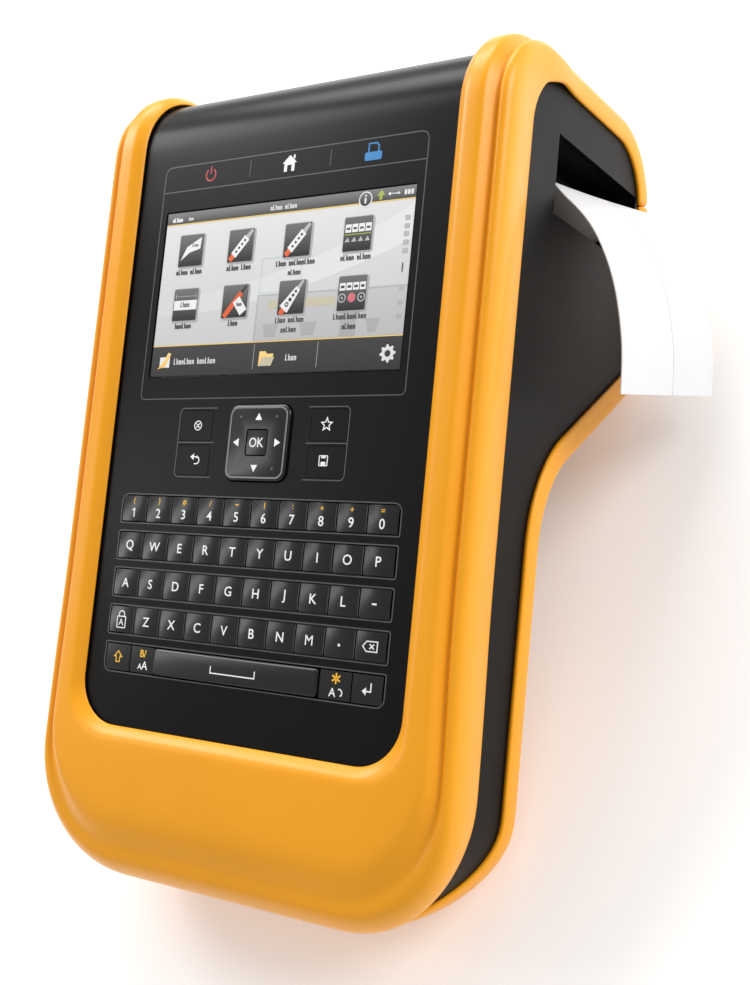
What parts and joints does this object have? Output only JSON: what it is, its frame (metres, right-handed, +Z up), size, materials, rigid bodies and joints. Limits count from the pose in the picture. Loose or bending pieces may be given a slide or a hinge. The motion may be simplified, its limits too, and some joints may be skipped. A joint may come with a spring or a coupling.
{
  "type": "label maker",
  "caption": "Hand-held thermal-transfer label maker with a ribbed frame, colour screen, letter keypad, hinged cassette door, feed mechanism and a label leaving its side.",
  "frame": {"origin": "middle of the underside of the whole part's box, on the table it lies on", "axes": "+X to the device's right, +Y towards the top of its face, +Z up; the face looks up and leans 22 degrees towards the user"},
  "size_m": [0.1756, 0.2626, 0.127],
  "materials": {
    "yellow_plastic": "satin moulded plastic, yellow-orange",
    "gloss_black": "smooth black with a soft sheen",
    "matt_black": "fine-textured black moulding",
    "screen_glass": "clear glossy window over a lit colour display",
    "display_metal": "folded metal display frame",
    "soft_rubber": "dark rubber",
    "circuit_board": "green solder mask",
    "steel": "plated steel",
    "white_gear": "natural acetal",
    "ceramic_head": "glazed ceramic heater bar",
    "aluminium_sink": "extruded aluminium",
    "cassette_plastic": "black moulding",
    "tape_roll": "wound white label tape",
    "ink_ribbon": "wound black transfer ribbon",
    "label_stock": "white vinyl label, slightly satin"
  },
  "bodies": {
    "housing": {"front_housing": "yellow_plastic", "rear_housing": "yellow_plastic", "front_panel": "gloss_black", "left_side_panel": "matt_black", "right_side_panel": "matt_black", "top_cover": "matt_black", "slope_cover": "matt_black", "touch_lens": "screen_glass", "lcd_module": "display_metal", "keypad_membrane": "soft_rubber", "head_foot_left": "soft_rubber", "head_foot_right": "soft_rubber", "grip_foot_left": "soft_rubber", "grip_foot_right": "soft_rubber", "main_board": "circuit_board", "mechanism_frame": "steel", "fixed_blade": "steel", "door_hinge_pin": "steel", "usb_port": "steel", "case_screw_1": "steel", "case_screw_2": "steel", "case_screw_3": "steel", "case_screw_4": "steel", "feed_motor": "steel", "print_head": "ceramic_head", "heat_sink": "aluminium_sink", "cassette_case": "cassette_plastic", "battery_pack": "cassette_plastic", "power_jack": "cassette_plastic", "label_strip": "label_stock"},
    "key_row_1": {"key_row_1": "gloss_black"},
    "key_row_2": {"key_row_2": "gloss_black"},
    "key_row_3": {"key_row_3": "gloss_black"},
    "key_row_4": {"key_row_4": "gloss_black"},
    "shift_key": {"shift_key": "gloss_black"},
    "font_key": {"font_key": "gloss_black"},
    "space_bar": {"space_bar": "gloss_black"},
    "accent_key": {"accent_key": "gloss_black"},
    "enter_key": {"enter_key": "gloss_black"},
    "nav_actuator": {"nav_actuator": "soft_rubber"},
    "nav_pad": {"nav_pad": "gloss_black"},
    "ok_key": {"ok_key": "gloss_black"},
    "cancel_key": {"cancel_key": "gloss_black"},
    "back_key": {"back_key": "gloss_black"},
    "favourite_key": {"favourite_key": "gloss_black"},
    "save_key": {"save_key": "gloss_black"},
    "door_latch": {"door_latch": "matt_black"},
    "battery_door": {"battery_door": "matt_black"},
    "battery_latch": {"battery_latch": "matt_black"},
    "idler_gear": {"idler_gear": "white_gear"},
    "motor_pinion": {"motor_pinion": "steel"},
    "tape_spool": {"tape_spool": "tape_roll"},
    "ribbon_supply_spool": {"ribbon_supply_spool": "ink_ribbon"},
    "cutter_blade": {"cutter_blade": "steel"},
    "cassette_door": {"cassette_door": "yellow_plastic"},
    "platen": {"platen_shaft": "steel", "platen_roller": "soft_rubber", "platen_gear": "white_gear"},
    "ribbon_drive": {"ribbon_spindle": "white_gear", "ribbon_takeup_spool": "ink_ribbon"}
  },
  "joints": [
    {"name": "key_row_1_press", "type": "slide", "parent": "housing", "child": "key_row_1", "axis": [0, 0.3746, -0.9272], "range_m": [0, 0.0008], "stiffness_N_per_m": 400, "springref_m": -0.0004},
    {"name": "key_row_2_press", "type": "slide", "parent": "housing", "child": "key_row_2", "axis": [0, 0.3746, -0.9272], "range_m": [0, 0.0008], "stiffness_N_per_m": 400, "springref_m": -0.0004},
    {"name": "key_row_3_press", "type": "slide", "parent": "housing", "child": "key_row_3", "axis": [0, 0.3746, -0.9272], "range_m": [0, 0.0008], "stiffness_N_per_m": 400, "springref_m": -0.0004},
    {"name": "key_row_4_press", "type": "slide", "parent": "housing", "child": "key_row_4", "axis": [0, 0.3746, -0.9272], "range_m": [0, 0.0008], "stiffness_N_per_m": 400, "springref_m": -0.0004},
    {"name": "shift_key_press", "type": "slide", "parent": "housing", "child": "shift_key", "axis": [0, 0.3746, -0.9272], "range_m": [0, 0.0008], "stiffness_N_per_m": 400, "springref_m": -0.0004},
    {"name": "font_key_press", "type": "slide", "parent": "housing", "child": "font_key", "axis": [0, 0.3746, -0.9272], "range_m": [0, 0.0008], "stiffness_N_per_m": 400, "springref_m": -0.0004},
    {"name": "space_bar_press", "type": "slide", "parent": "housing", "child": "space_bar", "axis": [0, 0.3746, -0.9272], "range_m": [0, 0.0008], "stiffness_N_per_m": 400, "springref_m": -0.0004},
    {"name": "accent_key_press", "type": "slide", "parent": "housing", "child": "accent_key", "axis": [0, 0.3746, -0.9272], "range_m": [0, 0.0008], "stiffness_N_per_m": 400, "springref_m": -0.0004},
    {"name": "enter_key_press", "type": "slide", "parent": "housing", "child": "enter_key", "axis": [0, 0.3746, -0.9272], "range_m": [0, 0.0008], "stiffness_N_per_m": 400, "springref_m": -0.0004},
    {"name": "ok_key_press", "type": "slide", "parent": "housing", "child": "ok_key", "axis": [0, 0.3746, -0.9272], "range_m": [0, 0.0008], "stiffness_N_per_m": 400, "springref_m": -0.0004},
    {"name": "cancel_key_press", "type": "slide", "parent": "housing", "child": "cancel_key", "axis": [0, 0.3746, -0.9272], "range_m": [0, 0.0005], "stiffness_N_per_m": 400, "springref_m": -0.0004},
    {"name": "back_key_press", "type": "slide", "parent": "housing", "child": "back_key", "axis": [0, 0.3746, -0.9272], "range_m": [0, 0.0005], "stiffness_N_per_m": 400, "springref_m": -0.0004},
    {"name": "favourite_key_press", "type": "slide", "parent": "housing", "child": "favourite_key", "axis": [0, 0.3746, -0.9272], "range_m": [0, 0.0005], "stiffness_N_per_m": 400, "springref_m": -0.0004},
    {"name": "save_key_press", "type": "slide", "parent": "housing", "child": "save_key", "axis": [0, 0.3746, -0.9272], "range_m": [0, 0.0005], "stiffness_N_per_m": 400, "springref_m": -0.0004},
    {"name": "nav_up_down", "type": "hinge", "parent": "housing", "child": "nav_actuator", "pos_m": [-0.0128, -0.01019, 0.08276], "axis": [1, 0, 0], "range_deg": [-2, 2], "stiffness_Nm_per_rad": 0.3},
    {"name": "nav_left_right", "type": "hinge", "parent": "nav_actuator", "child": "nav_pad", "pos_m": [-0.0128, -0.01019, 0.08276], "axis": [0, 0.9272, 0.3746], "range_deg": [-2, 2], "stiffness_Nm_per_rad": 0.3},
    {"name": "cassette_door_open", "type": "hinge", "parent": "housing", "child": "cassette_door", "pos_m": [-0.0128, 0.06801, 0.00694], "axis": [-1, 0, 0], "range_deg": [0, 90]},
    {"name": "door_latch_slide", "type": "slide", "parent": "cassette_door", "child": "door_latch", "axis": [0, -0.9272, -0.3746], "range_m": [0, 0.0025], "stiffness_N_per_m": 250, "springref_m": -0.001},
    {"name": "battery_door_open", "type": "hinge", "parent": "housing", "child": "battery_door", "pos_m": [-0.0128, -0.08835, 0.00901], "axis": [-1, 0, 0], "range_deg": [0, 95]},
    {"name": "battery_latch_slide", "type": "slide", "parent": "battery_door", "child": "battery_latch", "axis": [0, -0.9272, -0.3746], "range_m": [0, 0.002], "stiffness_N_per_m": 250, "springref_m": -0.001},
    {"name": "platen_spin", "type": "hinge", "parent": "housing", "child": "platen", "pos_m": [0.0292, 0.08258, 0.05337], "axis": [0, -0.3746, 0.9272], "continuous": true},
    {"name": "idler_spin", "type": "hinge", "parent": "housing", "child": "idler_gear", "pos_m": [0.01313, 0.05899, 0.07943], "axis": [0, -0.3746, 0.9272], "continuous": true},
    {"name": "pinion_spin", "type": "hinge", "parent": "housing", "child": "motor_pinion", "pos_m": [0.00106, 0.05055, 0.07603], "axis": [0, -0.3746, 0.9272], "continuous": true},
    {"name": "ribbon_spin", "type": "hinge", "parent": "housing", "child": "ribbon_drive", "pos_m": [0.01106, 0.1, 0.06041], "axis": [0, -0.3746, 0.9272], "continuous": true},
    {"name": "tape_spool_spin", "type": "hinge", "parent": "housing", "child": "tape_spool", "pos_m": [-0.0328, 0.078, 0.05001], "axis": [0, -0.3746, 0.9272], "continuous": true},
    {"name": "ribbon_supply_spin", "type": "hinge", "parent": "housing", "child": "ribbon_supply_spool", "pos_m": [-0.01094, 0.0996, 0.05874], "axis": [0, -0.3746, 0.9272], "continuous": true},
    {"name": "cutter_stroke", "type": "slide", "parent": "housing", "child": "cutter_blade", "axis": [0, -0.9272, -0.3746], "range_m": [0, 0.0033], "stiffness_N_per_m": 150, "springref_m": -0.0005}
  ],
  "couplings": [
    {"joint": "idler_spin", "follows": "platen_spin", "ratio": -0.81818},
    {"joint": "pinion_spin", "follows": "platen_spin", "ratio": 2.25},
    {"joint": "ribbon_spin", "follows": "platen_spin", "ratio": -0.52941}
  ]
}
